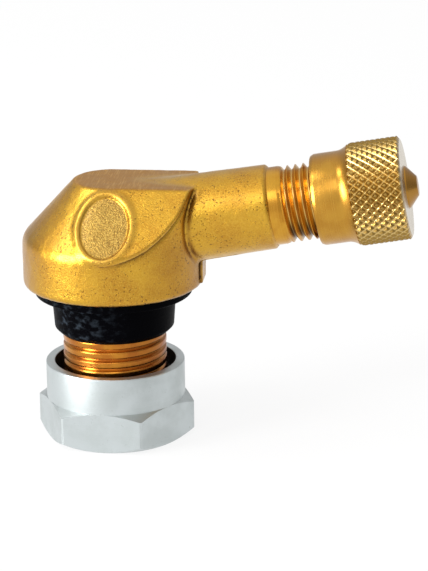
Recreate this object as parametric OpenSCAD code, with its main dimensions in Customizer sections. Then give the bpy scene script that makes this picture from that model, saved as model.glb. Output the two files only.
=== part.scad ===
// Angled clamp-in tyre valve: a forged head with a side arm, a threaded stem with a rubber
// grommet and a collared nut for the rim, a knurled cap, and a spring-loaded core in the arm.
// Millimetres. The origin is on the stem's axis in the plane of the rim seat, the underside of
// the grommet's flange. +Z points up the stem into the head, and the arm leaves towards +X.

/* [Head] */
// Diameter of the round head
head_d = 18; // [16:0.1:20]
// Height of the head's upright side, below its sloping flanks
head_side_h = 4.9; // [4:0.1:5.6]
// Height of the sloping flanks, from the upright side to the flat top
flank_h = 5.7; // [5:0.1:6.4]
// Angle of the sloping flanks above the horizontal
flank_angle = 47.5; // [45:0.5:52]
// Radius where the round flank turns into the upright side
flank_edge_r = 1; // [0.4:0.1:1.6]
// Radius of the head's lower edge
head_edge_r = 0.4; // [0.2:0.05:0.8]
// How far the lip along the flat flanks stands proud of the upright side
lip_out = 0.12; // [0.05:0.01:0.25]
// Thickness of that lip, square to the flank
lip_t = 0.35; // [0.2:0.05:0.6]
// Width of the trimmed forging land under the arm
land_w = 2.8; // [1.6:0.1:4]
// How far the trimmed land stands proud of the upright side
land_out = 0.15; // [0.05:0.01:0.3]

/* [Oval medallion] */
// Width of the sunk oval floor on the front flank
oval_w = 4.66; // [3.2:0.02:5.2]
// Height of the sunk oval floor, along the flank
oval_h = 6; // [4.4:0.1:6.4]
// Width of the raised rim around the floor
oval_rim_w = 0.6; // [0.3:0.05:0.8]
// Height of the raised rim above the flank
oval_rim_h = 0.12; // [0.05:0.01:0.2]
// Depth of the oval floor below the flank
oval_depth = 0.2; // [0.1:0.05:0.5]
// Distance of the oval's centre from the head's top edge, along the flank
oval_drop = 4.1; // [3.7:0.05:4.5]

/* [Arm] */
// Rise of the arm above the horizontal, in degrees
arm_rise = 9.6; // [5:0.2:14]
// Height above the head's underside at which the arm's axis crosses the stem's axis
arm_h = 5.4; // [5:0.1:5.8]
// Diameter of the arm at its shoulder
arm_d = 8.36; // [8.1:0.02:8.9]
// Taper of the arm, growth in diameter per millimetre towards the head
arm_taper = 0.038; // [0:0.002:0.06]
// Distance from the stem's axis to the arm's shoulder
shoulder_at = 16.05; // [15:0.05:18]
// Length of the conical step at the shoulder
shoulder_step = 0.3; // [0.15:0.05:0.5]
// Length of the plain neck between the shoulder and the valve thread
neck_l = 1.45; // [1:0.05:2]
// How far the neck stands proud of the valve thread
neck_out = 0.06; // [0.02:0.01:0.12]
// Diameter over the crests of the valve thread
thread_d = 7.6; // [7.2:0.02:8]
// Length of the valve thread, up to the arm's open tip
thread_l = 8.5; // [7.5:0.1:9.5]
// Pitch of the valve thread
thread_pitch = 0.794; // [0.7:0.002:0.9]
// Depth of the valve thread
thread_depth = 0.45; // [0.3:0.01:0.5]
// Chamfer at the arm's tip
tip_chamfer = 0.4; // [0.2:0.05:0.6]

/* [Stem] */
// Diameter over the crests of the stem's thread
stem_d = 10.4; // [9.8:0.02:11]
// Distance from the rim seat down to the stem's end
stem_l = 14.3; // [13:0.1:14.7]
// Pitch of the stem's thread
stem_pitch = 1; // [0.75:0.05:1.25]
// Depth of the stem's thread
stem_thread_depth = 0.3; // [0.2:0.01:0.5]
// Chamfer at the stem's end
stem_chamfer = 0.6; // [0.2:0.05:1]
// Diameter of the air passage up the stem
stem_bore_d = 4.4; // [3:0.1:5.5]
// How far the air passage runs past the arm's axis
stem_bore_past = 1; // [0.6:0.1:1.6]

/* [Core bore] */
// Diameter of the arm's bore along the threaded plug
plug_bore_d = 5.2; // [4.9:0.02:5.6]
// Room around the barrel in the arm's bore
barrel_room = 0.15; // [0.1:0.01:0.25]
// Length of the tapered seat in the bore
taper_l = 1; // [0.8:0.05:1.2]
// Room in the bore below the barrel, for the seat cup and its travel
cup_room = 3.9; // [3.6:0.1:4.4]
// Diameter of the air passage from the core to the stem
passage_d = 3.2; // [2.4:0.1:3.8]

/* [Grommet] */
// Width of the grommet's flange around its boss
flange_w = 1.65; // [1:0.05:2.2]
// Thickness of the flange, which also sets the head's height above the rim
flange_t = 1; // [0.7:0.05:1.4]
// Wall of the boss where it leaves the flange
boss_wall = 1; // [0.8:0.05:1.4]
// How far the boss tapers in towards its lower end
boss_draft = 0.25; // [0.1:0.01:0.3]
// Length of the boss below the flange
boss_l = 3.9; // [3:0.1:4.4]
// Chamfer at the boss's lower end
boss_chamfer = 0.5; // [0.2:0.05:0.6]

/* [Nut] */
// Distance from the rim seat down to the nut's top
nut_at = 7.1; // [6.4:0.1:7.6]
// Room around the boss's lower end in the nut's counterbore
boss_room = 0.1; // [0.1:0.01:0.3]
// Wall of the nut's round collar around the counterbore
collar_wall = 0.9; // [0.6:0.05:1.2]
// Height of the collar above the hexagon
collar_h = 3.7; // [3:0.1:4.4]
// Depth of the counterbore
counterbore_depth = 2.4; // [1.6:0.1:3.4]
// Width across the hexagon's flats
hex_af = 14; // [13:0.1:16]
// Height of the hexagon
hex_h = 4.05; // [3.5:0.05:5]
// Depth to which the hexagon's corners are turned off
corner_cut = 0.08; // [0.04:0.01:0.2]
// Width of the chamfer ring inside the hexagon's flats
hex_face_in = 0.2; // [0.1:0.05:0.4]
// Angle of the hexagon's turned chamfers above the horizontal
hex_chamfer_angle = 30; // [20:1:40]
// Turn of the hexagon about the stem's axis
hex_turn = -4; // [-30:1:30]
// Chamfer at the collar's rim
collar_chamfer = 0.25; // [0.1:0.05:0.4]

/* [Cap] */
// Length of valve thread that shows between the neck and the cap's mouth
thread_shown = 3.15; // [2.6:0.05:3.6]
// Room between the cap's bore and the valve thread
cap_room = 0.08; // [0.04:0.01:0.1]
// Wall of the cap's smooth skirt
skirt_wall = 0.64; // [0.4:0.02:1]
// Length of the skirt up to the knurled head
skirt_l = 3.75; // [3.2:0.05:4.3]
// How far the knurl's points stand out from the skirt
knurl_out = 0.58; // [0.5:0.02:0.8]
// Depth of the knurl
knurl_depth = 0.26; // [0.15:0.01:0.3]
// Number of knurl points around the head
knurl_count = 36; // [30:1:42]
// Rows of half diamonds along the head
knurl_rows = 10; // [8:2:14]
// Radius of the flare between the skirt and the knurled head
flare_r = 0.75; // [0.6:0.05:1]
// Thickness of the cap's closed end
cap_end_t = 2.45; // [1.8:0.05:3]
// Diameter of the conical nub at its foot
nub_d = 4.2; // [3.4:0.1:5]
// Diameter of the nub at its tip
nub_tip_d = 1.9; // [1.2:0.1:2.6]
// Height of the nub
nub_h = 1.15; // [0.8:0.05:1.5]
// Chamfer at the cap's mouth
mouth_chamfer = 0.25; // [0.1:0.05:0.3]
// Thickness of the sealing disc in the cap
seal_t = 1; // [0.6:0.05:1.4]

/* [Core] */
// Distance from the arm's tip to the top of the plug's bridge
plug_sink = 0.5; // [0.3:0.05:0.8]
// Height of the plug's flat-sided bridge
bridge_h = 1.2; // [0.8:0.05:1.5]
// Width across the bridge's flats
bridge_w = 3.2; // [2.8:0.1:3.8]
// Length of the plug's threaded part
plug_l = 3.4; // [3:0.1:3.8]
// Length of the swivel spigot under the plug
spigot_l = 0.6; // [0.4:0.05:0.8]
// Wall of the barrel's socket around the spigot
socket_wall = 0.25; // [0.2:0.05:0.35]
// Diameter of the hole through the plug
plug_hole_d = 2.2; // [1.8:0.05:2.5]
// Outer diameter of the barrel
barrel_d = 3.9; // [3.6:0.02:4.2]
// Length of the barrel
barrel_l = 10.45; // [9.8:0.05:11]
// Distance from the barrel's top to the shoulder that holds the gasket
shoulder_drop = 1.85; // [1.6:0.05:2.1]
// Height of that shoulder
shoulder_h = 0.75; // [0.5:0.05:1]
// Height of the gasket's straight part, above its taper
gasket_h = 0.65; // [0.4:0.05:0.8]
// Diameter of the barrel's spring chamber
chamber_d = 2.4; // [2.2:0.05:2.6]
// Diameter of the hole in the barrel's foot
foot_hole_d = 1.5; // [1.2:0.05:1.7]
// Thickness of the barrel's foot under the spring
barrel_foot = 2; // [1.4:0.1:2.4]
// Diameter of the pin
pin_d = 0.84; // [0.7:0.02:0.9]
// Diameter of the pin's button end
button_d = 1.2; // [1:0.05:1.6]
// Length of the pin's button end
button_h = 0.5; // [0.3:0.05:0.7]
// Diameter of the pin's spring collar
pin_collar_d = 2; // [1.8:0.05:2.1]
// Height of the pin's spring collar
pin_collar_h = 0.4; // [0.3:0.05:0.6]
// Diameter of the spring's wire
wire_d = 0.3; // [0.2:0.02:0.34]
// Number of turns of the spring
coil_turns = 7; // [5:1:9]
// Outer diameter of the seat cup
cup_d = 3.5; // [3.2:0.05:3.7]
// Height of the seat cup
cup_h = 1.4; // [1.1:0.05:1.6]
// Wall of the seat cup
cup_wall = 0.25; // [0.15:0.05:0.35]
// Thickness of the seat cup's floor
cup_floor = 0.4; // [0.3:0.05:0.6]
// How far the seat's seal stands out of its cup
seal_out = 0.25; // [0.1:0.05:0.4]
// Length of the pin below the seat cup
pin_tail = 0.4; // [0.2:0.05:0.6]

/* [Hidden] */
$fn = 96;

// Clearances: between pieces that rest on or screw into each other, and around the pin
rest_gap = 0.05;
slide_gap = 0.04;

// Overlap that joins a feature to the solid that carries it, and reach of a cut past a face
root = 1;
past = 1;

head_r = head_d / 2;
side_top = flange_t + head_side_h;
head_top = side_top + flank_h;
top_half_w = head_r - flank_h / tan(flank_angle);

arm_z = flange_t + arm_h;
arm_r = arm_d / 2;
arm_root_at = arm_r / 2;
arm_root_r = arm_r + (shoulder_at - arm_root_at) * arm_taper / 2;
thread_r = thread_d / 2;
neck_r = thread_r + neck_out;
thread_at = shoulder_at + neck_l;
tip_at = thread_at + thread_l;

stem_r = stem_d / 2;
stem_hole_r = stem_r + rest_gap;
boss_r = stem_hole_r + boss_wall;
boss_end_r = boss_r - boss_draft;
flange_r = boss_r + flange_w;
counterbore_r = boss_end_r + boss_room;
collar_r = counterbore_r + collar_wall;

cap_at = thread_at + thread_shown;
cap_bore_r = thread_r + cap_room;
cap_bore_depth = tip_at - cap_at + seal_t + 2 * rest_gap;
cap_l = cap_bore_depth + cap_end_t;
skirt_r = cap_bore_r + skirt_wall;
knurl_r = skirt_r + knurl_out;

// Heights of the core's pieces along the arm, measured from the stem's axis
bridge_top = tip_at - plug_sink;
plug_top = bridge_top - bridge_h;
plug_foot = plug_top - plug_l;
barrel_top = plug_foot - rest_gap;
barrel_end = barrel_top - barrel_l;
socket_foot = barrel_top - spigot_l - rest_gap;
chamber_foot = barrel_end + barrel_foot;
shoulder_top = barrel_top - shoulder_drop;
shoulder_foot = shoulder_top - shoulder_h;
taper_top = shoulder_foot - gasket_h;
taper_foot = taper_top - taper_l;
core_bore_at = barrel_end - cup_room;
pin_collar_at = socket_foot - pin_collar_h - pin_collar_d / 4;
cup_top = barrel_end - rest_gap - seal_out;
cup_foot = cup_top - cup_h;

plug_bore_r = plug_bore_d / 2;
plug_r = plug_bore_r - rest_gap;
barrel_r = barrel_d / 2;
barrel_bore_r = barrel_r + barrel_room;
socket_r = barrel_r - socket_wall;
spigot_r = socket_r - rest_gap;
pin_r = pin_d / 2;
coil_r = (pin_r + chamber_d / 2) / 2;

// Points of an arc about [x, y], for a rounded corner in an outline
function arc(x, y, r, a0, a1, steps = 8) =
    [for (i = [0:steps]) let (a = a0 + (a1 - a0) * i / steps) [x + r * cos(a), y + r * sin(a)]];

// Points of an ellipse
function oval(w, h, steps = 48) =
    [for (i = [0:steps - 1]) [w / 2 * cos(360 * i / steps), h / 2 * sin(360 * i / steps)]];

// Profile points of a thread from one height up to another: one ring groove for each turn of the helix
function thread_rings(r, depth, pitch, from, to, crest) =
    let (turns = floor((to - from) / pitch))
    [for (i = [0:turns - 1], p = [[r, 0], [r, crest], [r - depth, (1 + crest) / 2]])
        [p[0], from + (i + p[1]) * pitch]];

// Places its children on the arm's axis, at a distance from the stem's axis
module on_arm(at = 0) {
    translate([0, 0, arm_z]) rotate([0, 90 - arm_rise, 0]) translate([0, 0, at]) children();
}

// Underside and rounded lower edge of the head, as points of its profile
function head_foot() = concat([[0, flange_t]],
    arc(head_r - head_edge_r, flange_t + head_edge_r, head_edge_r, -90, 0));

// Half of the head away from the arm: a turned cone that rounds into the upright side
module round_half() {
    turn = 90 - flank_angle;
    inset = flank_edge_r * tan(turn / 2);
    rotate([0, 0, 90]) rotate_extrude(angle = 180) polygon(concat(
        head_foot(),
        arc(head_r - flank_edge_r, side_top - inset, flank_edge_r, 0, turn),
        [[top_half_w, head_top], [0, head_top]]));
}

// A bar along the arm whose two flanks slope as the head's do, sunk square to them by a depth
module flank_bar(sunk = 0) {
    drop = sunk / cos(flank_angle);
    foot_w = head_r + side_top / tan(flank_angle);
    peak_w = top_half_w / 2;
    peak = head_top + (top_half_w - peak_w) * tan(flank_angle);
    translate([-past, 0, -drop]) rotate([90, 0, 90]) linear_extrude(head_d)
        polygon([[-foot_w, 0], [foot_w, 0], [peak_w, peak], [-peak_w, peak]]);
}

// A turned half ring or disc on the arm's side, from a profile
module arm_side_turned(profile) {
    rotate([0, 0, -90]) rotate_extrude(angle = 180) polygon(profile);
}

// Half of the head on the arm's side: flat flanks cut across the round side, with a lip
module flat_half() {
    lip_foot = side_top - root;
    intersection() {
        arm_side_turned(concat(head_foot(), [[head_r, head_top], [0, head_top]]));
        flank_bar();
    }
    difference() {
        intersection() {
            arm_side_turned([[head_r - root, lip_foot], [head_r + lip_out, lip_foot],
                             [head_r + lip_out, head_top], [head_r - root, head_top]]);
            flank_bar();
        }
        flank_bar(lip_t);
    }
}

// Places its children on the front flank, with X along the head and Y up the flank
module on_front_flank() {
    translate([0, -top_half_w, head_top]) rotate([flank_angle, 0, 0]) translate([0, -oval_drop, 0]) children();
}

// Forged head, arm and stem as one solid block, before the medallion and the passages
module blank() {
    round_half();
    flat_half();
    on_front_flank() translate([0, 0, -root]) linear_extrude(root + oval_rim_h)
        polygon(oval(oval_w + 2 * oval_rim_w, oval_h + 2 * oval_rim_w));
    on_arm(arm_root_at) cylinder(h = shoulder_at - arm_root_at, r1 = arm_root_r, r2 = arm_r);
    on_arm() rotate_extrude() polygon(concat(
        [[0, shoulder_at - root], [neck_r, shoulder_at - root], [neck_r, thread_at]],
        thread_rings(thread_r, thread_depth, thread_pitch, thread_at, tip_at - tip_chamfer, 0.1),
        [[thread_r, tip_at - tip_chamfer], [thread_r - tip_chamfer, tip_at], [0, tip_at]]));
    on_arm(shoulder_at) cylinder(h = shoulder_step, r1 = arm_r, r2 = neck_r);
    translate([head_r - root, -land_w / 2, flange_t + head_edge_r])
        cube([root + land_out, land_w, arm_h - head_edge_r]);
    rotate_extrude() polygon(concat(
        [[0, -stem_l], [stem_r - stem_chamfer, -stem_l]],
        thread_rings(stem_r, stem_thread_depth, stem_pitch, stem_chamfer - stem_l, 0, 0.35),
        [[stem_r, -rest_gap], [stem_r, flange_t + root], [0, flange_t + root]]));
}

// Stepped bore for the core and the air passages
module passages() {
    passage_r = passage_d / 2;
    on_arm() rotate_extrude() polygon([
        [0, -passage_r], [passage_r, -passage_r], [passage_r, core_bore_at], [barrel_bore_r, core_bore_at],
        [barrel_bore_r, taper_foot], [plug_bore_r, taper_top], [plug_bore_r, tip_at + past], [0, tip_at + past]]);
    translate([0, 0, -stem_l - past])
        cylinder(h = stem_l + past + arm_z + stem_bore_past, d = stem_bore_d);
}

module valve_body() {
    color("goldenrod") difference() {
        blank();
        on_front_flank() translate([0, 0, -oval_depth]) linear_extrude(oval_depth + oval_rim_h + past)
            polygon(oval(oval_w, oval_h));
        passages();
    }
}

module rim_grommet() {
    color("dimgray") rotate_extrude() polygon([
        [stem_hole_r, -boss_l], [boss_end_r - boss_chamfer, -boss_l], [boss_end_r, boss_chamfer - boss_l],
        [boss_r, 0], [flange_r, 0], [flange_r, flange_t], [stem_hole_r, flange_t]]);
}

module rim_nut() {
    nut_h = collar_h + hex_h;
    face_r = hex_af / 2 - hex_face_in;
    corner_r = hex_af / 2 / cos(30) - corner_cut;
    drop = (corner_r - face_r) * tan(hex_chamfer_angle);
    color("silver") translate([0, 0, -nut_at]) difference() {
        union() {
            rotate_extrude() polygon([
                [0, -nut_h + hex_h / 2], [collar_r, -nut_h + hex_h / 2], [collar_r, -collar_chamfer],
                [collar_r - collar_chamfer, 0], [0, 0]]);
            intersection() {
                rotate([0, 0, hex_turn]) translate([0, 0, -nut_h])
                    cylinder(h = hex_h, d = hex_af / cos(30), $fn = 6);
                rotate_extrude() polygon([
                    [0, -nut_h], [face_r, -nut_h], [corner_r, drop - nut_h],
                    [corner_r, -collar_h - drop], [face_r, -collar_h], [0, -collar_h]]);
            }
        }
        rotate_extrude() polygon([
            [0, -nut_h - past], [stem_hole_r, -nut_h - past], [stem_hole_r, -counterbore_depth],
            [counterbore_r, -counterbore_depth], [counterbore_r, -collar_chamfer],
            [counterbore_r + collar_chamfer, 0], [counterbore_r + collar_chamfer, past], [0, past]]);
    }
}

// Diamond knurl: a ring whose outside rises to a point in the middle of every diamond
module knurl_ring(from, to, inner_r) {
    around = knurl_count * 2;
    valley_r = knurl_r - knurl_depth;
    step = (to - from) / knurl_rows;
    outer = [for (j = [0:knurl_rows], i = [0:around - 1])
        let (at_end = j == 0 || j == knurl_rows,
             r = at_end ? valley_r : (i + j) % 2 == 1 ? knurl_r : valley_r,
             a = 360 * i / around)
        [r * cos(a), r * sin(a), from + j * step]];
    inner = [for (z = [from, to], i = [0:around - 1])
        let (a = 360 * i / around) [inner_r * cos(a), inner_r * sin(a), z]];
    base = (knurl_rows + 1) * around;
    top = knurl_rows * around;
    cells = [for (j = [0:knurl_rows - 1], i = [0:around - 1])
        let (n = (i + 1) % around,
             p = j * around + i, q = j * around + n, s = p + around, t = q + around)
        each (i + j) % 2 == 0 ? [[p, t, q], [p, s, t]] : [[p, s, q], [q, s, t]]];
    walls = [for (i = [0:around - 1]) let (n = (i + 1) % around)
        each [[base + i, base + n, base + around + n, base + around + i],
              [i, n, base + n, base + i],
              [top + n, top + i, base + around + i, base + around + n]]];
    polyhedron(concat(outer, inner), concat(cells, walls), convexity = 4);
}

module cap_shell() {
    core_r = knurl_r - 1.5 * knurl_depth;
    flare_out = knurl_out - knurl_depth / 3;
    flare_sweep = acos(1 - flare_out / flare_r);
    flare_h = flare_r * sin(flare_sweep);
    seat = rest_gap;
    color("goldenrod") on_arm(cap_at) difference() {
        union() {
            rotate_extrude() polygon(concat(
                [[0, 0], [skirt_r - mouth_chamfer, 0], [skirt_r, mouth_chamfer]],
                arc(skirt_r + flare_r, skirt_l - flare_h, flare_r, 180, 180 - flare_sweep),
                [[core_r, skirt_l], [core_r, cap_l], [nub_d / 2, cap_l],
                 [nub_tip_d / 2, cap_l + nub_h], [0, cap_l + nub_h]]));
            knurl_ring(skirt_l - seat, cap_l - seat, core_r - knurl_depth);
        }
        rotate_extrude() polygon([
            [0, -past], [cap_bore_r + mouth_chamfer, -past], [cap_bore_r + mouth_chamfer, 0],
            [cap_bore_r, mouth_chamfer], [cap_bore_r, cap_bore_depth], [0, cap_bore_depth]]);
    }
}

module cap_seal() {
    color("black") on_arm(tip_at + rest_gap) cylinder(h = seal_t, r = thread_r - tip_chamfer);
}

module core_plug() {
    bridge_r = plug_r - cup_wall;
    color("gold") on_arm() difference() {
        union() {
            translate([0, 0, plug_foot]) cylinder(h = plug_l, r = plug_r);
            intersection() {
                translate([0, 0, plug_foot]) cylinder(h = plug_l + bridge_h, r = bridge_r);
                translate([-bridge_w / 2, -plug_r, plug_foot]) cube([bridge_w, 2 * plug_r, plug_l + bridge_h]);
            }
            translate([0, 0, plug_foot - spigot_l]) cylinder(h = spigot_l + plug_l / 2, r = spigot_r);
        }
        translate([0, 0, plug_foot - spigot_l - past])
            cylinder(h = spigot_l + plug_l + bridge_h + 2 * past, d = plug_hole_d);
    }
}

module core_barrel() {
    shoulder_r = plug_bore_r - 3 * rest_gap;
    color("gold") on_arm() rotate_extrude() polygon([
        [foot_hole_d / 2, barrel_end], [barrel_r, barrel_end], [barrel_r, shoulder_foot],
        [shoulder_r, shoulder_foot], [shoulder_r, shoulder_top], [barrel_r, shoulder_top],
        [barrel_r, barrel_top], [socket_r, barrel_top], [socket_r, socket_foot], [chamber_d / 2, socket_foot],
        [chamber_d / 2, chamber_foot], [foot_hole_d / 2, chamber_foot]]);
}

module barrel_gasket() {
    hole_r = barrel_r + rest_gap;
    rim_r = plug_bore_r - 2 * rest_gap;
    color("firebrick") on_arm() rotate_extrude() polygon([
        [hole_r, taper_foot + rest_gap], [barrel_bore_r - rest_gap / 2, taper_foot + rest_gap],
        [rim_r, taper_top], [rim_r, shoulder_foot - rest_gap], [hole_r, shoulder_foot - rest_gap]]);
}

module core_pin() {
    button_r = button_d / 2;
    button_edge = button_h / 4;
    color("silver") on_arm() rotate_extrude() polygon([
        [0, cup_foot - pin_tail], [pin_r, cup_foot - pin_tail], [pin_r, pin_collar_at],
        [pin_collar_d / 2, pin_collar_at], [pin_collar_d / 2, pin_collar_at + pin_collar_h],
        [pin_r, pin_collar_at + pin_collar_h], [pin_r, bridge_top - button_h],
        [button_r, bridge_top - button_h + button_edge], [button_r, bridge_top - button_edge],
        [button_r - button_edge, bridge_top], [0, bridge_top]]);
}

// Coil spring around the pin, between the barrel's foot and the pin's collar
module core_spring() {
    foot = chamber_foot + wire_d / 2 + rest_gap;
    rise = pin_collar_at - wire_d / 2 - rest_gap - foot;
    sides = 8;
    per_turn = 18;
    rings = coil_turns * per_turn;
    points = [for (k = [0:rings], m = [0:sides - 1])
        let (a = 360 * k / per_turn, b = 360 * m / sides, r = coil_r + wire_d / 2 * cos(b))
        [r * cos(a), r * sin(a), foot + rise * k / rings + wire_d / 2 * sin(b)]];
    skin = [for (k = [0:rings - 1], m = [0:sides - 1])
        let (n = (m + 1) % sides, p = k * sides + m, q = k * sides + n)
        each [[p, p + sides, q], [q, p + sides, q + sides]]];
    ends = [[for (m = [0:sides - 1]) m], [for (m = [sides - 1:-1:0]) rings * sides + m]];
    color("lightgray") on_arm() polyhedron(points, concat(skin, ends), convexity = 8);
}

module seat_cup() {
    cup_r = cup_d / 2;
    hole_r = pin_r + slide_gap;
    edge = cup_wall / 2;
    color("gold") on_arm() rotate_extrude() polygon([
        [hole_r, cup_foot], [cup_r - edge, cup_foot], [cup_r, cup_foot + edge], [cup_r, cup_top],
        [cup_r - cup_wall, cup_top], [cup_r - cup_wall, cup_foot + cup_floor], [hole_r, cup_foot + cup_floor]]);
}

module seat_seal() {
    outer_r = cup_d / 2 - cup_wall - slide_gap;
    inner_r = pin_r + slide_gap;
    foot = cup_foot + cup_floor + slide_gap;
    color("black") on_arm() rotate_extrude() polygon([
        [inner_r, foot], [outer_r, foot], [outer_r, barrel_end - rest_gap], [inner_r, barrel_end - rest_gap]]);
}

valve_body();
rim_grommet();
rim_nut();
cap_shell();
cap_seal();
core_plug();
core_barrel();
barrel_gasket();
core_pin();
core_spring();
seat_cup();
seat_seal();
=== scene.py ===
# Angled clamp-in tyre valve: a forged gold head with its arm and stem, the rubber grommet and nut that
# hold it in a wheel rim, the spring-loaded core in the arm and the knurled cap on the arm's thread.
import math

import bpy
import numpy as np
from mathutils import Matrix, Vector


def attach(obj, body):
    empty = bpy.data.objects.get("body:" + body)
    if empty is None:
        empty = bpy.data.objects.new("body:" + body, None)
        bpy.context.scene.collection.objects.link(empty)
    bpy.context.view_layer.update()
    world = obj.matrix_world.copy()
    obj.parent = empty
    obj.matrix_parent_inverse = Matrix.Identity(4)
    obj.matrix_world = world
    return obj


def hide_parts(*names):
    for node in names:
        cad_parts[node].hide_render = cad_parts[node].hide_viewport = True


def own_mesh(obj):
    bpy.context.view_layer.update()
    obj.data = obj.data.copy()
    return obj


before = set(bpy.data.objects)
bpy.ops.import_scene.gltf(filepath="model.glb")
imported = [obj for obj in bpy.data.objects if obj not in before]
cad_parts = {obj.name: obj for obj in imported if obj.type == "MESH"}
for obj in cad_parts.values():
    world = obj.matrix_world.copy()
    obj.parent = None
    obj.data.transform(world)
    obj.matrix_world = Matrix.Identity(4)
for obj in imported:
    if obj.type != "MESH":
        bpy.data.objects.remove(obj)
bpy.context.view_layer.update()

# Head and arm: one aluminium forging, trimmed in a die, so its edges are soft and its skin is grainy.
# It is shot blasted and gold anodised all over; the flat top is rubbed bare and dull by the trimming.
mm = 0.001
head_r, head_foot, side_top, head_top = 9.0, 1.0, 5.9, 11.6
flank = math.radians(47.5)
flank_sin, flank_cos = math.sin(flank), math.cos(flank)
top_half_w = head_r - (head_top - side_top) / math.tan(flank)
oval_w, oval_h, oval_drop, oval_right = 4.62, 6.55, 4.26, 0.19
oval_rim, oval_rise, oval_depth, oval_lean = 0.62, 0.19, 0.17, math.radians(30)
arm_z, arm_r, arm_taper, shoulder_at, shoulder_l = 6.4, 4.18, 0.019, 16.05, 0.3
neck_r, arm_root = 3.86, 2.0
arm_rise = math.radians(9.6)
arm_cos, arm_sin = math.cos(arm_rise), math.sin(arm_rise)
lip_out, lip_t, lip_edge = 0.15, 0.35, 0.07
groove_drop, groove_w, groove_depth = 0.52, 0.14, 0.18
cone_soft, flank_soft, arm_side_soft, top_soft, foot_soft = 0.5, 0.12, 0.32, 0.22, 0.66
pad_soft, pad_blend, pad_root, wall_soft, rim_soft = 0.6, 0.55, 1.5, 0.04, 0.3
arm_blend, arm_top_blend, crease_w, crease_depth = 0.5, 0.2, 0.3, 0.2
land_half_w, land_face, land_root, land_foot, land_blend = 1.4, 9.15, 8.0, 1.4, 0.05
slit_half_w, slit_floor, slit_foot, slit_top = 0.14, 8.55, 1.9, 4.6
air_bore_r, core_bore_r, core_bore_at, stem_bore_r, well_top = 1.6, 2.1, 6.5, 2.2, 1.0
grain_height = 0.0022
forging_step = 0.14
grain = np.random.default_rng(7)
wave_ways = grain.normal(size=(14, 3))
wave_ways /= np.linalg.norm(wave_ways, axis=1)[:, None]
wave_ways *= 2 * math.pi / grain.uniform(0.7, 2.6, (14, 1))
wave_shifts = grain.uniform(0, 2 * math.pi, 14)


def ramp(value, low, high):
    """0 below low, 1 above high and a smooth rise between them."""
    t = np.clip((value - low) / (high - low), 0, 1)
    return t * t * (3 - 2 * t)


def soft_max(a, b, soft):
    return np.maximum(a, b) + np.maximum(soft - np.abs(a - b), 0) ** 2 / (4 * soft)


def soft_min(a, b, soft):
    return -soft_max(-a, -b, soft)


def oval_distance(x, y, half_w, half_h):
    q = np.hypot(x / half_w, y / half_h)
    slope = np.hypot(x / half_w ** 2, y / half_h ** 2)
    return q * (q - 1) / np.maximum(slope, 1e-6)


def over_flank(x, y, z):
    """Distance in mm above the flat flanks and the cone that joins them at the back of the head."""
    across = np.where(x < 0, np.hypot(x, y), np.abs(y))
    return (across - top_half_w) * flank_sin + (z - head_top) * flank_cos


def from_oval(x, y, z):
    """Distance in mm from the medallion's outline, along the front flank."""
    down = (-y - top_half_w) * flank_cos - (z - head_top) * flank_sin - oval_drop
    return oval_distance(x - oval_right, down, oval_w / 2, oval_h / 2)


def from_arm(x, y, z):
    """Place along the arm, distance from its axis and distance from its tapered side, in mm."""
    along = x * arm_cos + (z - arm_z) * arm_sin
    around = np.hypot(y, (z - arm_z) * arm_cos - x * arm_sin)
    return along, around, around - arm_r - (shoulder_at - along) * arm_taper


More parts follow.
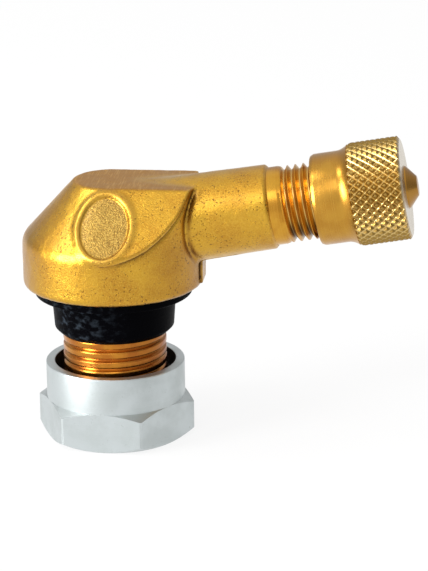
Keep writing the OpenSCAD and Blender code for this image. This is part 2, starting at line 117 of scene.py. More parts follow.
def forging(x, y, z):
    """Distance in mm from the forging's skin, negative inside it."""
    # A thin lip with a groove under it runs along the foot of the flat flanks.
    out = np.hypot(x, y)
    slope = over_flank(x, y, z)
    lip = ramp(x, -0.6, 0.8) * (1 - ramp(x, 7.6, 8.6))
    lip_top = 1 - ramp(-slope, lip_t - lip_edge, lip_t + lip_edge)
    groove = np.exp(-((slope + groove_drop) / groove_w) ** 2)
    side = out - head_r - lip * (lip_out * lip_top - groove_depth * groove)
    soft = cone_soft + (flank_soft - cone_soft) * ramp(x, -2.0, 0.6)
    soft = soft + (arm_side_soft - flank_soft) * ramp(x, 6.5, 8.3)
    head = soft_max(side, slope, soft)
    head = soft_max(head, z - head_top, top_soft)
    head = soft_max(head, head_foot - z, foot_soft)
    # The medallion is an oval pad on the front flank, with a rounded rim around a sunk bare floor.
    oval = from_oval(x, y, z)
    pad = soft_max(oval - oval_rim, slope - oval_rise, pad_soft)
    pad = np.maximum(pad, -slope - pad_root)
    head = soft_min(head, pad, pad_blend)
    wall = oval * math.cos(oval_lean) - (slope + oval_depth) * math.sin(oval_lean)
    sunk = soft_max(wall, -oval_depth - slope, wall_soft)
    head = soft_max(head, -sunk, rim_soft)
    # The arm meets the head in small fillets, tightest at the top, with a crease down each side.
    along, around, arm = from_arm(x, y, z)
    shoulder = around - arm_r + (along - shoulder_at) * (arm_r - neck_r) / shoulder_l
    arm = soft_max(arm, 0.7 * shoulder, 0.06)
    arm = np.maximum(arm, np.maximum(along - shoulder_at - shoulder_l, arm_root - along))
    crease = np.exp(-((head - arm) / crease_w) ** 2) * ramp(np.abs(y), 2.4, 3.4) * ramp(x, 5.0, 6.5)
    blend = arm_blend + (arm_top_blend - arm_blend) * ramp(z, 7.0, 9.2)
    body = soft_min(head, arm, blend) + crease_depth * crease
    # Under the arm the die left a flat land, with a slit down each side of it.
    land = np.maximum(np.abs(y) - land_half_w, np.maximum(land_root - x, x - land_face))
    land = np.maximum(land, np.maximum(land_foot - z, z - arm_z))
    body = soft_min(body, land, land_blend)
    slit = np.maximum(np.abs(np.abs(y) - land_half_w - slit_half_w) - slit_half_w, slit_floor - x)
    body = np.maximum(body, -np.maximum(slit, np.maximum(slit_foot - z, z - slit_top)))
    # The skin is a little uneven all over, and the air passages are drilled through it.
    waves = sum(np.sin(x * w[0] + y * w[1] + z * w[2] + s) for w, s in zip(wave_ways, wave_shifts))
    body = body + grain_height * waves
    bore = np.maximum(around - np.where(along < core_bore_at, air_bore_r, core_bore_r), -air_bore_r - along)
    well = np.maximum(out - stem_bore_r, z - arm_z - well_top)
    return np.maximum(body, -np.minimum(bore, well))


def skin(field, low, step):
    """Points and quads over the zero level of a grid of distances, one point in every crossed cell."""
    inside = field < 0
    cells = [n - 1 for n in field.shape]
    corners = [(i, j, k) for i in (0, 1) for j in (0, 1) for k in (0, 1)]

    def part(grid, corner):
        return grid[tuple(slice(c, c + n) for c, n in zip(corner, cells))]

    count = sum(part(inside, c).astype(np.int8) for c in corners)
    crossed = (count > 0) & (count < 8)
    at = np.argwhere(crossed)
    number = np.full(cells, -1)
    number[crossed] = np.arange(len(at))
    total, hits = np.zeros((len(at), 3)), np.zeros(len(at))
    for corner in corners:
        for axis in range(3):
            if corner[axis]:
                continue
            far = tuple(1 if a == axis else c for a, c in enumerate(corner))
            f0, f1 = part(field, corner)[crossed], part(field, far)[crossed]
            cut = (f0 < 0) != (f1 < 0)
            place = np.tile(np.array(corner, float), (len(at), 1))
            place[:, axis] = f0 / np.where(cut, f0 - f1, 1)
            total += place * cut[:, None]
            hits += cut
    points = low + step * (at + total / hits[:, None])
    quads = []
    for axis in range(3):
        u, v = (axis + 1) % 3, (axis + 2) % 3
        near = [slice(1, -1)] * 3
        near[axis] = slice(0, -1)
        past = list(near)
        past[axis] = slice(1, None)
        a, b = inside[tuple(near)], inside[tuple(past)]
        edge = np.argwhere(a != b)
        outward = a[a != b]
        edge[:, u] += 1
        edge[:, v] += 1
        ring = []
        for du, dv in ((0, 0), (1, 0), (1, 1), (0, 1)):
            cell = edge.copy()
            cell[:, u] -= du
            cell[:, v] -= dv
            ring.append(number[tuple(cell.T)])
        ring = np.stack(ring, 1)
        quads.append(np.where(outward[:, None], ring, ring[:, ::-1]))
    return points, np.concatenate(quads)


def gradient(points, step=0.02):
    ways = np.eye(3) * step
    return np.stack([forging(*(points + w).T) - forging(*(points - w).T) for w in ways], 1) / (2 * step)


def new_piece(name, points, faces, body, material, sharp=None):
    """A mesh object of points in mm, riding on a body."""
    mesh = bpy.data.meshes.new(name)
    mesh.from_pydata([tuple(p) for p in (np.asarray(points) * mm).tolist()], [], [tuple(f) for f in faces])
    mesh.validate()
    mesh.shade_smooth()
    if sharp:
        mesh.set_sharp_from_angle(angle=math.radians(sharp))
    mesh.materials.append(material)
    piece = bpy.data.objects.new(name, mesh)
    bpy.context.scene.collection.objects.link(piece)
    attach(piece, body)
    return piece


def mark(piece, name, values):
    """A number on every point of a piece for its material to read."""
    numbers = piece.data.attributes.new(name, "FLOAT", "POINT")
    numbers.data.foreach_set("value", np.asarray(values, np.float32))


class Shade:
    """A node tree and one output socket in it; sums and products of sockets add Math nodes."""

    def __init__(self, tree, socket=None):
        self.tree = tree
        self.socket = socket

    def node(self, kind, settings=None, sockets=None, out=0):
        made = self.tree.nodes.new("ShaderNode" + kind)
        for name, value in (settings or {}).items():
            setattr(made, name, value)
        for key, value in (sockets or {}).items():
            if isinstance(value, Shade):
                self.tree.links.new(value.socket, made.inputs[key])
            else:
                made.inputs[key].default_value = value
        return Shade(self.tree, made.outputs[out])

    def maths(self, operation, a, b):
        return self.node("Math", {"operation": operation}, {0: a, 1: b})

    def __add__(self, other):
        return self.maths("ADD", self, other)

    def __sub__(self, other):
        return self.maths("SUBTRACT", self, other)

    def __rsub__(self, other):
        return self.maths("SUBTRACT", other, self)

    def __mul__(self, other):
        return self.maths("MULTIPLY", self, other)

    __radd__ = __add__
    __rmul__ = __mul__

    def rise(self, low, high):
        settings = {"interpolation_type": "SMOOTHSTEP"}
        return self.node("MapRange", settings, {0: self, 1: low, 2: high})

    def tint(self, colour, other):
        """colour where this is 0 and other where it is 1."""
        return self.node("Mix", {"data_type": "RGBA"}, {0: self, 6: colour, 7: other}, out=2)

    def place(self):
        return self.node("TexCoord", out=3)

    def noise(self, size, detail=2.0, place=None):
        """Cloudy noise with features of about this size in mm."""
        sockets = {"Vector": place or self.place(), "Scale": 1 / (size * mm), "Detail": detail}
        return self.node("TexNoise", None, sockets)

    def tool_lines(self, along, size):
        """Streaks of about this width in mm, square to the way that along grows."""
        sockets = {"W": along, "Scale": 1 / (size * mm), "Detail": 3.0}
        return self.node("TexNoise", {"noise_dimensions": "1D"}, sockets)

    def attribute(self, name):
        return self.node("Attribute", {"attribute_name": name}, out=2)


def new_finish(name, metallic, looks, coat=0.0):
    """A material whose colour, roughness and bump height come from looks."""
    material = bpy.data.materials.new(name)
    material.use_nodes = True
    tree = material.node_tree
    shader = tree.nodes["Principled BSDF"]
    shader.inputs["Metallic"].default_value = metallic
    shader.inputs["Coat Weight"].default_value = coat
    shader.inputs["Coat Roughness"].default_value = 0.28
    start = Shade(tree)
    colour, roughness, height, depth = looks(start)
    tree.links.new(colour.socket, shader.inputs["Base Color"])
    tree.links.new(roughness.socket, shader.inputs["Roughness"])
    bump = start.node("Bump", None, {"Strength": 1.0, "Distance": depth * mm, "Height": height})
    tree.links.new(bump.socket, shader.inputs["Normal"])
    return material


def rgb(red, green, blue):
    """A colour as it is seen, from 0 to 255, for a shader's socket."""
    seen = np.array((red, green, blue)) / 255
    line = np.where(seen > 0.04045, ((seen + 0.055) / 1.055) ** 2.4, seen / 12.92)
    return (*line.tolist(), 1.0)


def blasted_gold(start):
    clouds = start.noise(3.5, 3.0).rise(0.35, 0.68)
    fine = start.noise(0.13, 2.0)
    pits = start.noise(0.19, 1.0).rise(0.635, 0.72) * start.noise(3.0, 2.0).rise(0.34, 0.58)
    colour = clouds.tint(rgb(205, 156, 45), rgb(185, 132, 36))
    colour = (fine.rise(0.35, 0.75) * 0.6).tint(colour, rgb(222, 179, 64))
    # Painted shade: the lower right of the drum goes darker brown; the far left of the head does too.
    colour = (start.attribute("darker_sides") * 0.5).tint(colour, rgb(146, 94, 30))
    colour = (pits * 0.75).tint(colour, rgb(92, 56, 18))
    floor = start.attribute("medal_floor")
    pebbles = start.noise(0.15, 2.0).rise(0.36, 0.64)
    pebbled = pebbles.tint(rgb(140, 108, 50), rgb(184, 152, 78))
    colour = (floor * 0.85).tint(colour, pebbled)
    drawn = {"Vector": start.place(), "Rotation": (0, 0, 0.35), "Scale": (1, 0.05, 1)}
    scratches = start.noise(0.12, 2.0, start.node("Mapping", None, drawn)).rise(0.5, 0.72)
    bare = (scratches * 0.55).tint(rgb(174, 123, 38), rgb(212, 170, 96))
    colour = start.attribute("bare_top").tint(colour, bare)
    colour = (start.attribute("edge") * 0.35).tint(colour, rgb(226, 184, 90))
    # Painted shade: a wide brown shading in the hollows, strongest beside the arm's fillets.
    colour = (start.attribute("hollow_shade") * 0.6).tint(colour, rgb(122, 84, 30))
    # Painted shade: creases, crevices and the die slits darkened to deep brown.
    colour = (start.attribute("crevice_painted_light") * 0.9).tint(colour, rgb(64, 34, 10))
    roughness = 0.3 + 0.08 * clouds + 0.16 * start.attribute("bare_top") + 0.1 * floor
    height = fine + 0.5 * start.noise(0.42, 2.0) + 0.7 * floor * pebbles - 1.5 * pits
    return colour, roughness, height, 0.028


lows = np.array((-9.6, -9.6, 0.5))
counts = np.ceil((np.array((16.8, 9.6, 13.9)) - lows) / forging_step).astype(int)
axes = [lows[a] + forging_step * np.arange(counts[a]) for a in range(3)]
forging_grid = forging(*np.meshgrid(*axes, indexing="ij"))
head_points, head_quads = skin(forging_grid, lows, forging_step)
for _ in range(4):
    slopes = gradient(head_points)
    away = forging(*head_points.T)
    steps = away[:, None] * slopes / np.maximum((slopes ** 2).sum(1), 0.2)[:, None]
    head_points = head_points - np.clip(steps, -forging_step / 2, forging_step / 2)
slopes = gradient(head_points, 0.08)
outward = slopes / np.maximum(np.linalg.norm(slopes, axis=1), 1e-6)[:, None]


def closed_in(reach):
    """How much of the way out from each point of the forging is filled by the forging itself."""
    return np.clip(1 - forging(*(head_points + outward * reach).T) / reach, 0, 1)


# How closed in each point is; it sets where shade is painted into the forging's creases.
crevice_painted_light = (closed_in(0.15) + closed_in(0.35) + closed_in(0.8)) / 3
edge = np.clip(1 + forging(*(head_points - outward * 0.3).T) / 0.3, 0, 1)
hx, hy, hz = head_points.T
level = over_flank(hx, hy, hz)
oval = from_oval(hx, hy, hz)
crest = from_arm(hx, hy, hz)[2]
trimmed = ramp(hz, head_top - 0.2, head_top - 0.03) * ramp(outward[:, 2], 0.8, 0.97)
gold = new_finish("blasted_gold", 1.0, blasted_gold, 0.3)
head = new_piece("valve_head", head_points, head_quads.tolist(), "valve", gold)
mark(head, "crevice_painted_light", ramp(crevice_painted_light, 0.2, 0.7))
# Painted shade on the drum's lower right, where the floor beside it lies in shadow; the far left is
# darkened as well.
shaded_right = ramp(hx, 3.0, 8.6) * (1 - ramp(hz, 5.5, 7.5)) * (np.hypot(hx, hy) < head_r + 0.3)
mark(head, "darker_sides", np.maximum(ramp(-hx, 5.5, 9.0), shaded_right))
# Painted shade over a wide reach around every hollow.
mark(head, "hollow_shade", ramp(closed_in(1.7), 0.12, 0.75))
mark(head, "edge", ramp(edge, 0.12, 0.5) * (hz > 1.6))
mark(head, "bare_top", trimmed * ramp(crest, 0.0, 0.5))
mark(head, "medal_floor", (1 - ramp(oval, -0.12, 0.0)) * (np.abs(level + oval_depth) < 0.12))
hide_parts("valve_body")

# Neck and valve thread: the end of the arm, turned to a bright finish and cut with the fine right-hand
# thread that takes caps and air chucks. The bore for the core opens in its tip.
thread_r, thread_at, tip_at, thread_pitch, thread_depth = 3.8, 17.5, 26.0, 0.79375, 0.46
bore_r, bore_taper, tip_chamfer, tip_edge = 2.6, (16.6, 17.6), 0.4, 0.25
thread_shape = (0, 0.06, 0.47, 0.59, 1), (0, 0, 1, 1, 0)


def turned(columns, profile, thread=None):
    """Points and faces of a turned ring. profile(angle) gives the closed outline as (radius, height) pairs;
    thread is (index, height_from, height_to, pitch, phases, radius_at) for a helix between two of them."""
    points, rows = [], []
    for i in range(columns):
        angle = 2 * math.pi * i / columns
        outline = [(("p", j), r, h) for j, (r, h) in enumerate(profile(angle))]
        if thread:
            index, low, high, pitch, phases, radius_at = thread
            first = math.floor((min(low, high) / pitch - i / columns) - 1)
            last = math.ceil((max(low, high) / pitch - i / columns) + 1)
            cut = []
            for turn in range(first, last + 1):
                for number, phase in enumerate(phases):
                    height = (turn + phase + i / columns) * pitch
                    if min(low, high) + 0.01 < height < max(low, high) - 0.01:
                        cut.append((("t", turn * len(phases) + number), radius_at(phase, height), height))
            outline[index + 1:index + 1] = cut if high > low else cut[::-1]
        row = []
        for key, r, h in outline:
            row.append((key, len(points)))
            points.append((r * math.cos(angle), r * math.sin(angle), h))
        rows.append(row)
    faces = []
    for i in range(columns):
        left, right = list(rows[i]), list(rows[(i + 1) % columns])
        if thread and i == columns - 1:
            right = [(("t", k[1] - len(thread[4])) if k[0] == "t" else k, n) for k, n in right]
        left.append(left[0])
        right.append(right[0])
        in_left, in_right = {k for k, _ in left}, {k for k, _ in right}
        a = b = 0
        while a < len(left) - 1 or b < len(right) - 1:
            step_a = a < len(left) - 1 and (b == len(right) - 1 or left[a + 1][0] not in in_right)
            step_b = b < len(right) - 1 and (a == len(left) - 1 or right[b + 1][0] not in in_left)
            if step_a:
                faces.append((left[a][1], right[b][1], left[a + 1][1]))
                a += 1
            elif step_b:
                faces.append((left[a][1], right[b][1], right[b + 1][1]))
                b += 1
            else:
                faces.append((left[a][1], right[b][1], right[b + 1][1], left[a + 1][1]))
                a += 1
                b += 1
    rim = np.array(profile(0))
    next_rim = np.roll(rim, -1, axis=0)
    if (rim[:, 0] * next_rim[:, 1] - next_rim[:, 0] * rim[:, 1]).sum() < 0:
        faces = [face[::-1] for face in faces]
    return np.array(points), faces


def filleted(outline, radii, steps=4):
    """A closed outline with its corners rounded by the given radii."""
    result = []
    for j, (corner, radius) in enumerate(zip(outline, radii)):
        here = np.array(corner, float)
        if not radius:
            result.append(tuple(here))
            continue
        before, after = np.array(outline[j - 1]) - here, np.array(outline[(j + 1) % len(outline)]) - here
        before, after = before / np.linalg.norm(before), after / np.linalg.norm(after)
        half = math.acos(float(np.clip(before @ after, -1, 1))) / 2
        reach = radius / math.tan(half)
        for k in range(steps + 1):
            t = k / steps
            result.append(tuple(here + before * reach * (1 - t) ** 2 + after * reach * t ** 2))
    return result


def to_arm(points):
    """Turned along +Z, laid on the arm's own axis."""
    x, y, h = np.asarray(points).T
    return np.stack((h * arm_cos - x * arm_sin, -y, arm_z + h * arm_sin + x * arm_cos), 1)


def valve_thread_r(phase, height):
    cut = np.interp(phase, *thread_shape)
    fade = float(ramp(height, thread_at - 0.1, thread_at + 0.5))
    return min(thread_r - thread_depth * cut * fade, thread_r - tip_chamfer + (tip_at - height))


neck_outline = filleted([
    (neck_r, shoulder_at + 0.1), (neck_r, thread_at - 0.25), (thread_r, thread_at),
    (thread_r - tip_chamfer, tip_at), (bore_r + tip_edge, tip_at), (bore_r, tip_at - tip_edge),
    (bore_r, bore_taper[1]), (core_bore_r, bore_taper[0]), (core_bore_r, shoulder_at + 0.1)],
    (0, 0.1, 0, 0.06, 0.05, 0.05, 0.1, 0.1, 0), 2)
thread_index = next(j for j, (r, h) in enumerate(neck_outline) if h >= thread_at)
thread_cut = (thread_index, thread_at, tip_at - 0.08, thread_pitch,
              (0, 0.06, 0.16, 0.27, 0.38, 0.47, 0.53, 0.59, 0.7, 0.8, 0.9), valve_thread_r)


def turned_gold(bright, deep, smear):
    """Bright turned and anodised metal with fine tool lines around the arm's axis."""
    def looks(start):
        along = start.node("VectorMath", {"operation": "DOT_PRODUCT"},
                           {0: start.place(), 1: (arm_cos, 0, arm_sin)}, out=1)
        lines = start.tool_lines(along, 0.05)
        clouds = start.noise(2.2, 3.0).rise(0.35, 0.65)
        colour = clouds.tint(rgb(*bright), rgb(*deep))
        colour = (lines.rise(0.45, 0.75) * 0.3).tint(colour, rgb(*smear))
        # Painted highlight: the thread's grooves are lighter.
        colour = (start.attribute("crevice_painted_light") * 0.6).tint(colour, rgb(220, 186, 112))
        # Painted shade: the grooves on the arm's underside are darkened almost to black.
        colour = (start.attribute("under_shade") * 0.85).tint(colour, rgb(58, 30, 20))
        roughness = 0.2 + 0.06 * clouds + 0.05 * lines
        return colour, roughness, lines + 0.4 * start.noise(0.2, 2.0), 0.004
    return looks


neck_points, neck_faces = turned(160, lambda angle: neck_outline, thread_cut)
neck_looks = turned_gold((206, 152, 50), (186, 128, 38), (228, 184, 88))
neck_gold = new_finish("turned_gold", 1.0, neck_looks, 0.12)
neck = new_piece("valve_thread", to_arm(neck_points), neck_faces, "valve", neck_gold, 32)
neck_out = np.hypot(neck_points[:, 0], neck_points[:, 1])
neck_sunk, neck_at = thread_r - neck_out, neck_points[:, 2]
neck_outer = neck_out > bore_r + 0.4
# Painted shade in the thread's grooves on the arm's underside.
neck_underside_shade = ramp(-neck_points[:, 0] / neck_out, 0.0, 0.7)
# The thread's grooves carry a painted highlight.
mark(neck, "crevice_painted_light", ramp(neck_sunk, 0.12, thread_depth) * (neck_at > thread_at - 0.2) * neck_outer)
mark(neck, "under_shade", ramp(neck_sunk, 0.1, thread_depth) * neck_underside_shade * (neck_at > thread_at) * neck_outer)
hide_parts("valve_body")

# Stem: turned on the same forging below the head and cut with the coarser thread for the rim nut. The
# anodising is deeper and more coppery here, and the crests are rounded.
stem_r, stem_foot, stem_pitch, stem_depth, stem_chamfer, stem_edge = 5.2, -14.3, 1.0, 0.3, 0.6, 0.3


def stem_thread_r(phase, height):
    cut = 0.5 - 0.5 * math.cos(2 * math.pi * phase)
    fade = float(ramp(head_foot - height, 0.2, 0.9))
    return min(stem_r - stem_depth * cut ** 5 * fade, stem_r - stem_chamfer + (height - stem_foot))


stem_outline = filleted([
    (stem_bore_r, head_foot + 0.3), (stem_r, head_foot + 0.3), (stem_r, head_foot - 0.1),
    (stem_r - stem_chamfer, stem_foot), (stem_bore_r + stem_edge, stem_foot),
    (stem_bore_r, stem_foot + stem_edge)], (0, 0, 0, 0.06, 0.05, 0.05), 2)
stem_cut = (2, head_foot - 0.1, stem_foot + 0.08, stem_pitch, [k / 14 for k in range(14)], stem_thread_r)


def stem_gold(start):
    x = start.node("SeparateXYZ", None, {0: start.place()}, out=0)
    z = start.node("SeparateXYZ", None, {0: start.place()}, out=2)
    lines = start.tool_lines(z, 0.06)
    clouds = start.noise(1.6, 3.0).rise(0.35, 0.65)
    colour = clouds.tint(rgb(194, 128, 40), rgb(174, 102, 30))
    colour = (lines.rise(0.5, 0.8) * 0.3).tint(colour, rgb(224, 168, 76))
    # Painted shade: the stem's right side is darkened to brown.
    colour = (x.rise(0.5 * mm, 4.5 * mm) * 0.6).tint(colour, rgb(128, 66, 24))
    # Painted highlight: the thread's grooves are lighter.
    colour = (start.attribute("crevice_painted_light") * 0.5).tint(colour, rgb(234, 184, 104))
    return colour, 0.2 + 0.1 * clouds, lines + 0.5 * start.noise(0.25, 2.0), 0.006


stem_points, stem_faces = turned(160, lambda angle: stem_outline, stem_cut)
stem_finish = new_finish("coppery_gold", 1.0, stem_gold, 0.2)
stem = new_piece("stem_thread", stem_points, stem_faces, "valve", stem_finish, 40)
stem_out = np.hypot(stem_points[:, 0], stem_points[:, 1])
# The thread's grooves carry a painted highlight.
mark(stem, "crevice_painted_light", ramp(stem_r - stem_out, 0.1, stem_depth + 0.02) * (stem_out > 4))
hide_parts("valve_body")

# Grommet: one moulded ring of black rubber, its flange squeezed between the head and the rim and its
# tapered boss pushed into the rim's hole. Pale scuffs and dust are painted on its left side only, where
# they also stand for a painted sheen.
grommet_bore_r, flange_r, flange_t = 5.25, 7.9, 1.0
boss_top_r, boss_end_r, boss_foot = 6.25, 6.0, -3.9
grommet_outline = filleted([
    (grommet_bore_r, flange_t), (flange_r, flange_t), (flange_r, 0), (boss_top_r, 0),
    (boss_end_r, boss_foot + 0.5), (boss_end_r - 0.5, boss_foot), (grommet_bore_r, boss_foot)],
    (0.05, 0.25, 0.25, 0.15, 0.25, 0.12, 0.05), 6)


def black_rubber(start):
    rubbed = {"Vector": start.place(), "Rotation": (0.4, 0.2, 0.6), "Scale": (1, 1, 1.5)}
    scuffs = start.noise(0.8, 9.0, start.node("Mapping", None, rubbed)).rise(0.47, 0.78)
    x = start.node("SeparateXYZ", None, {0: start.place()}, out=0)
    # Scuffs and dust with a painted sheen, kept to the left side.
    sheen_side = x.rise(3 * mm, -4 * mm)
    dust = start.noise(0.1, 2.0).rise(0.66, 0.78) * 0.5
    scuffs_and_sheen = (scuffs * 0.15 + dust * 0.22) * sheen_side
    colour = scuffs_and_sheen.tint(rgb(3, 3, 5), rgb(118, 134, 150))
    return colour, 0.4 + 0.35 * scuffs * sheen_side, start.noise(0.2, 3.0) + scuffs, 0.012


grommet_points, grommet_faces = turned(144, lambda angle: grommet_outline)
rubber = new_finish("black_rubber", 0.0, black_rubber)
rubber.node_tree.nodes["Principled BSDF"].inputs["Specular IOR Level"].default_value = 0.012
grommet = new_piece("grommet", grommet_points, grommet_faces, "grommet", rubber, 40)
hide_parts("rim_grommet")

# Rim nut: turned from hexagon bar in plain aluminium, with a round collar that closes over the grommet's
# boss, a counterbore in the collar and the stem's thread below it. Its corners are turned and chamfered.
nut_top, collar_foot, nut_foot = -7.1, -10.8, -14.85
collar_r, counterbore_r, counterbore_floor = 7.0, 6.1, -9.5
nut_half_flat, nut_corner_r = 7.0, 8.0
nut_turn = math.radians(-94)
chamfer_slope = math.tan(math.radians(30))
nut_bore_r, nut_thread_depth, nut_edge, nut_foot_r = 5.25, 0.22, 0.3, 6.8
crisp = 0.05


def nut_outline(angle):
    """The nut's outline at an angle around the stem: the flats and corners change its lower half."""
    from_flat = (angle - nut_turn + math.pi / 6) % (math.pi / 3) - math.pi / 6
    hex_r = min(nut_half_flat / math.cos(from_flat), nut_corner_r)
    top_chamfer = collar_foot - max(hex_r - collar_r, 0.02) * chamfer_slope
    foot_chamfer = nut_foot + max(hex_r - nut_foot_r, 0.02) * chamfer_slope
    # The points that lie crisp beside an edge keep the smooth shading of the collar and flats even.
    return filleted([
        (nut_bore_r, nut_foot + nut_edge), (nut_bore_r, counterbore_floor),
        (counterbore_r, counterbore_floor), (counterbore_r, nut_top), (collar_r, nut_top),
        (collar_r, collar_foot + crisp), (collar_r, collar_foot), (hex_r + 0.001, top_chamfer),
        (hex_r, top_chamfer - crisp), (hex_r, foot_chamfer + crisp), (hex_r, foot_chamfer),
        (nut_foot_r, nut_foot), (nut_bore_r + nut_edge, nut_foot)],
        (0, 0, 0.05, 0.12, 0.2, 0, 0, 0, 0, 0, 0, 0.1, 0.1), 3)


def nut_thread_r(phase, height):
    ridge = (0.5 - 0.5 * math.cos(2 * math.pi * phase)) ** 2.6
    fade = float(ramp(counterbore_floor - height, 0.1, 0.6) * ramp(height - nut_foot, 0.3, 0.9))
    return nut_bore_r - nut_thread_depth * ridge * fade


def satin_aluminium(start):
    z = start.node("SeparateXYZ", None, {0: start.place()}, out=2)
    lines = start.tool_lines(z, 0.07)
    clouds = start.noise(2.5, 4.0).rise(0.35, 0.65)
    specks = start.noise(0.22, 3.0).rise(0.6, 0.74) * start.noise(1.5, 2.0).rise(0.45, 0.6)
    colour = clouds.tint(rgb(198, 205, 206), rgb(188, 195, 195))
    colour = (specks * 0.35).tint(colour, rgb(146, 152, 148))
    colour = (lines.rise(0.5, 0.8) * 0.15).tint(colour, rgb(216, 221, 222))
    # Painted shade: the counterbore and the threaded bore are darkened almost to black.
    colour = (start.attribute("inside") * 0.85).tint(colour, rgb(34, 28, 24))
    roughness = 0.36 + 0.06 * clouds + 0.05 * lines
    return colour, roughness, 0.6 * lines + start.noise(0.15, 2.0) - specks, 0.006


nut_cut = (0, nut_foot + nut_edge, counterbore_floor, stem_pitch, [k / 8 for k in range(8)], nut_thread_r)
nut_points, nut_faces = turned(360, nut_outline, nut_cut)
aluminium = new_finish("satin_aluminium", 1.0, satin_aluminium)
nut = new_piece("nut", nut_points, nut_faces, "nut", aluminium, 24)
nut_out = np.hypot(nut_points[:, 0], nut_points[:, 1])
# Painted shade inside the counterbore and the bore.
mark(nut, "inside", (nut_out < counterbore_r + 0.01) * (nut_points[:, 2] > nut_foot + 0.5))
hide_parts("rim_nut")

# Core: a bought-in valve core screwed into the arm's bore. A brass plug and barrel carry a steel pin, its
# spring, a red sealing ring and the rubber seat; only the plug and the pin's button show with the cap off.


def turned_brass(start):
    clouds = start.noise(0.8, 3.0).rise(0.35, 0.65)
    fine = start.noise(0.07, 3.0)
    colour = clouds.tint(rgb(214, 176, 92), rgb(190, 146, 66))
    return colour, 0.24 + 0.12 * clouds, fine, 0.006


def drawn_steel(start):
    clouds = start.noise(0.7, 3.0).rise(0.35, 0.65)
    colour = clouds.tint(rgb(198, 200, 204), rgb(172, 174, 180))
    return colour, 0.22 + 0.1 * clouds, start.noise(0.06, 2.0), 0.005


def red_gasket(start):
    clouds = start.noise(0.6, 3.0).rise(0.35, 0.65)
    colour = clouds.tint(rgb(176, 52, 40), rgb(150, 38, 30))
    return colour, 0.42 + 0.12 * clouds, start.noise(0.1, 3.0), 0.006


brass = new_finish("turned_brass", 1.0, turned_brass)
steel = new_finish("drawn_steel", 1.0, drawn_steel)
gasket = new_finish("red_gasket", 0.0, red_gasket)
core_finish = {
    "core_plug": brass, "core_barrel": brass, "seat_cup": brass, "core_pin": steel, "core_spring": steel,
    "barrel_gasket": gasket, "seat_seal": rubber, "cap_seal": rubber}
for node_name, finish in core_finish.items():
    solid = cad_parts[node_name]
    solid.data.materials.clear()
    solid.data.materials.append(finish)

# The spring is a copy of the core's spring on the valve; its foot and the shortening for the pin's travel
# are worked out but not used.
pin_travel = 1.2
arm_way = Vector((arm_cos, 0, arm_sin))
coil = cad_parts["core_spring"]
spring = bpy.data.objects.new("spring", coil.data.copy())
spring.matrix_world = coil.matrix_world
bpy.context.scene.collection.objects.link(spring)
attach(spring, "valve")
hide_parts("core_spring")
coil_ends = [arm_way @ (coil.matrix_world @ corner.co) for corner in coil.data.vertices]
coil_foot, coil_l = min(coil_ends), max(coil_ends) - min(coil_ends)
arm_way * coil_foot
1 - pin_travel * mm / coil_l
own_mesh(spring)

# Cap: turned in gold anodised aluminium, a plain skirt flaring to a head rolled with a diamond knurl, and
# a small cone left on its end. A rubber disc in its bottom seals on the tip; the inside is threaded.
cap_mouth, skirt_r, cap_bore_r, cap_floor, cap_end = 20.65, 4.52, 3.88, 27.1, 29.55
knurl_from, knurl_r, knurl_depth, knurl_count, knurl_rows = 24.4, 5.1, 0.26, 36, 5
knurl_steps = 12
nub_r, nub_tip_r, nub_h, axis_r = 2.1, 0.95, 1.15, 0.02
cap_thread_depth, cap_lead_in = 0.36, 0.25
flare_out, flare_l = 0.46, 1.15
knurl_to = cap_end - 0.2
knurl_row_l = (knurl_to - knurl_from) / knurl_rows


def knurl_point_r(angle, height):
    """Radius of the knurl: grooves at 45 degrees both ways leave a pyramid in every diamond."""
    around = knurl_count * angle / (2 * math.pi)
    along = (height - knurl_from) / knurl_row_l
    gaps = [abs(v - round(v)) for v in (around + along, around - along)]
    point = min(max((min(gaps) - 0.5 / knurl_steps) * 3.2, 0), 1)
    ends = min((height - knurl_from) * 1.4, (cap_end - height) * 1.4 - 0.1)
    return min(knurl_r - knurl_depth * (1 - point), knurl_r - knurl_depth + ends)


def cap_outline(angle):
    flare = []
    for t in np.linspace(0, 1, 11):
        flare.append((skirt_r + flare_out * t ** 2, knurl_from - 0.04 - flare_l * (1 - t)))
    rows = [knurl_from + knurl_row_l * k / knurl_steps for k in range(knurl_rows * knurl_steps + 1)]
    knurl = [(knurl_point_r(angle, h), h) for h in rows]
    end_r = knurl_r - knurl_depth - 0.12
    mouth = [(skirt_r - 0.2, cap_mouth), (skirt_r - 0.14, cap_mouth + 0.04),
             (skirt_r - 0.02, cap_mouth + 0.3), (skirt_r, cap_mouth + 0.36)]
    outside = [*mouth, *flare, *knurl, (end_r, cap_end)]
    nub = [(nub_r + 0.1, cap_end), (nub_r, cap_end + 0.05), (nub_r - 0.05, cap_end + 0.2),
           (nub_tip_r + 0.12, cap_end + nub_h - 0.12), (nub_tip_r + 0.02, cap_end + nub_h - 0.03),
           (nub_tip_r - 0.1, cap_end + nub_h), (axis_r, cap_end + nub_h + 0.01)]
    inside = [(axis_r, cap_floor + 0.05), (cap_bore_r, cap_floor),
              (cap_bore_r, cap_mouth + cap_lead_in), (cap_bore_r + cap_lead_in, cap_mouth)]
    return outside + nub + inside


def cap_thread_r(phase, height):
    ridge = float(np.interp(phase, *thread_shape))
    run_in = float(ramp(height, cap_mouth + cap_lead_in, cap_mouth + 0.7))
    run_out = float(1 - ramp(height, cap_floor - 1.5, cap_floor - 1.1))
    return cap_bore_r - cap_thread_depth * ridge * run_in * run_out


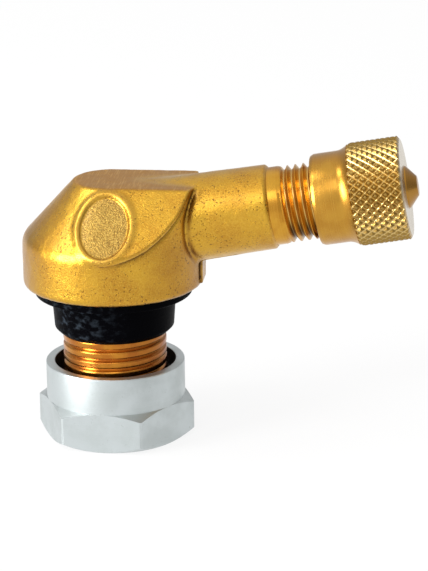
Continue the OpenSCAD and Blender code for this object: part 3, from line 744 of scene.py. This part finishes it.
def split_quads(points, faces):
    """Cuts every quad along the diagonal whose ends are nearer to the same radius."""
    out = np.hypot(points[:, 0], points[:, 1])
    cut = []
    for face in faces:
        if len(face) == 3:
            cut.append(face)
            continue
        a, b, c, d = face
        if abs(out[a] - out[c]) <= abs(out[b] - out[d]):
            cut += [(a, b, c), (a, c, d)]
        else:
            cut += [(a, b, d), (b, c, d)]
    return cut


def cap_gold(start):
    along = start.node("VectorMath", {"operation": "DOT_PRODUCT"},
                       {0: start.place(), 1: (arm_cos, 0, arm_sin)}, out=1)
    lines = start.tool_lines(along, 0.06)
    clouds = start.noise(2.0, 3.0).rise(0.35, 0.65)
    colour = clouds.tint(rgb(192, 142, 50), rgb(180, 128, 42))
    colour = (lines.rise(0.45, 0.75) * 0.25).tint(colour, rgb(212, 170, 84))
    # Painted shade: the knurl's facets are darker olive than the skirt.
    colour = start.attribute("rolled").tint(colour, rgb(156, 124, 60))
    # Painted highlight: the knurl's groove lines are lighter.
    colour = start.attribute("groove").tint(colour, rgb(222, 192, 124))
    # Painted reflection: the flat end face is whitish grey.
    colour = (start.attribute("end_face_reflection") * 0.8).tint(colour, rgb(196, 190, 172))
    # Painted shade: the cone on the end is darker brown.
    colour = (start.attribute("nub") * 0.6).tint(colour, rgb(146, 102, 44))
    roughness = 0.23 + 0.04 * clouds + 0.04 * lines + 0.05 * start.attribute("rolled")
    return colour, roughness, lines + 0.4 * start.noise(0.2, 2.0), 0.004


cap_inner = (len(cap_outline(0)) - 3, cap_floor, cap_mouth + cap_lead_in, thread_pitch,
             (0, 0.06, 0.27, 0.47, 0.59, 0.8), cap_thread_r)
cap_points, cap_faces = turned(knurl_count * knurl_steps, cap_outline, cap_inner)
cap_out, cap_at = np.hypot(cap_points[:, 0], cap_points[:, 1]), cap_points[:, 2]
cap_finish = new_finish("cap_gold", 1.0, cap_gold, 0.2)
cap_faces = split_quads(cap_points, cap_faces)
cap = new_piece("cap", to_arm(cap_points), cap_faces, "cap", cap_finish, 24)
rolled = (cap_at > knurl_from - 0.01) & (cap_at < knurl_to + 0.01)
rolled = rolled & (cap_out > knurl_r - knurl_depth - 0.05)
height_up = (cap_out - knurl_r + knurl_depth) / knurl_depth
# The knurl: it has its own roughness, and its facets carry a painted shade.
mark(cap, "rolled", rolled.astype(float))
# Painted shade on the cone at the end.
mark(cap, "nub", (cap_at > cap_end + 0.01).astype(float))
# Painted reflection on the flat end face.
mark(cap, "end_face_reflection", ((cap_at > cap_end - 0.01) & (cap_at < cap_end + 0.01)).astype(float))
# Painted highlight along the knurl's grooves.
mark(cap, "groove", rolled * (1 - ramp(height_up, 0.05, 0.35)))
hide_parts("cap_shell")

# Studio: the valve stands on its nut on a plain white floor, under a white sky that is brighter overhead
# and in front than at the sides. A soft lamp stands low at the left, and two weaker ones hang above it.
floor_mesh = bpy.data.meshes.new("floor")
reach, floor_z, floor_white = 3.0, nut_foot * mm, 0.85
floor_corners = [(x * reach, y * reach, floor_z) for x, y in ((-1, -1), (1, -1), (1, 1), (-1, 1))]
floor_mesh.from_pydata(floor_corners, [], [(0, 1, 2, 3)])
floor = bpy.data.objects.new("floor", floor_mesh)
bpy.context.scene.collection.objects.link(floor)
floor_paint = bpy.data.materials.new("white_floor")
floor_paint.use_nodes = True
paint = Shade(floor_paint.node_tree)
matt = floor_paint.node_tree.nodes["Principled BSDF"]
matt.inputs["Base Color"].default_value = (0.86, 0.86, 0.86, 1)
matt.inputs["Roughness"].default_value = 0.9
white = paint.node("Emission", None, {"Color": (1, 1, 1, 1), "Strength": 1.0})
rays = [paint.node("LightPath", out="Is %s Ray" % kind) for kind in ("Camera", "Glossy", "Transmission")]
seen = (rays[0] + rays[1] + rays[2]) * floor_white
mixed = paint.node("MixShader", None, {0: seen, 1: Shade(paint.tree, matt.outputs[0]), 2: white})
paint.tree.links.new(mixed.socket, paint.tree.nodes["Material Output"].inputs["Surface"])
floor_mesh.materials.append(floor_paint)

world = bpy.data.worlds.new("studio")
bpy.context.scene.world = world
world.use_nodes = True
sky = Shade(world.node_tree)


def towards(x, y, z):
    """How far a ray into the sky points this way."""
    sockets = {0: sky.node("TexCoord"), 1: (x, y, z)}
    return sky.node("VectorMath", {"operation": "DOT_PRODUCT"}, sockets, out=1)


sideways = towards(1, 0, 0)
front_glow = 0.3 * towards(-0.25, -0.95, 0.1).rise(0.5, 1.0)
top_glow = 0.4 * towards(0, 0, 1).rise(0.2, 0.95)
glow = 0.58 - 0.2 * sideways * sideways + front_glow + top_glow
world.node_tree.links.new(glow.socket, world.node_tree.nodes["Background"].inputs["Strength"])
world.node_tree.nodes["Background"].inputs["Color"].default_value = (1, 1, 1, 1)


lamp_aim = Vector((0.008, 0, 0))


def lamp(name, place, width, height, power):
    light = bpy.data.lights.new(name, "AREA")
    light.shape = "RECTANGLE"
    light.size = width
    light.size_y = height
    light.energy = power
    hung = bpy.data.objects.new(name, light)
    hung.location = place
    hung.rotation_euler = (lamp_aim - Vector(place)).to_track_quat("-Z", "Y").to_euler()
    bpy.context.scene.collection.objects.link(hung)


lamp("key_lamp", (-0.352, -0.254, 0.115), 0.18, 0.26, 2.6)
lamp("top_lamp", (-0.06, -0.38, 0.4), 0.24, 0.24, 0.36)
lamp("left_lamp", (-0.3, -0.06, 0.36), 0.16, 0.16, 0.5)

# Camera: a long lens a quarter of a metre away, a little above and to the right of the valve's front.
azimuth, elevation, roll = math.radians(6.692), math.radians(17.63), math.radians(-0.632)
frame_px, focal_px, sensor = 428, 2570.4, 36
camera_right, camera_up, camera_back = 0.01003, 0.000479, 0.2577
level_back = Vector((math.sin(azimuth), -math.cos(azimuth), 0))
back = level_back * math.cos(elevation) + Vector((0, 0, math.sin(elevation)))
level_right = Vector((math.cos(azimuth), math.sin(azimuth), 0))
level_up = back.cross(level_right)
right = math.cos(roll) * level_right + math.sin(roll) * level_up
up = math.cos(roll) * level_up - math.sin(roll) * level_right
camera_data = bpy.data.cameras.new("camera")
camera_data.sensor_fit = "HORIZONTAL"
camera_data.sensor_width = sensor
camera_data.lens = focal_px / frame_px * sensor
camera_data.clip_start = 0.01
camera = bpy.data.objects.new("camera", camera_data)
turn = Matrix((right, up, back)).transposed()
camera_place = camera_right * right + camera_up * up + camera_back * back
camera.matrix_world = Matrix.Translation(camera_place) @ turn.to_4x4()
bpy.context.scene.collection.objects.link(camera)
bpy.context.scene.camera = camera
bpy.context.scene.view_settings.view_transform = "Standard"
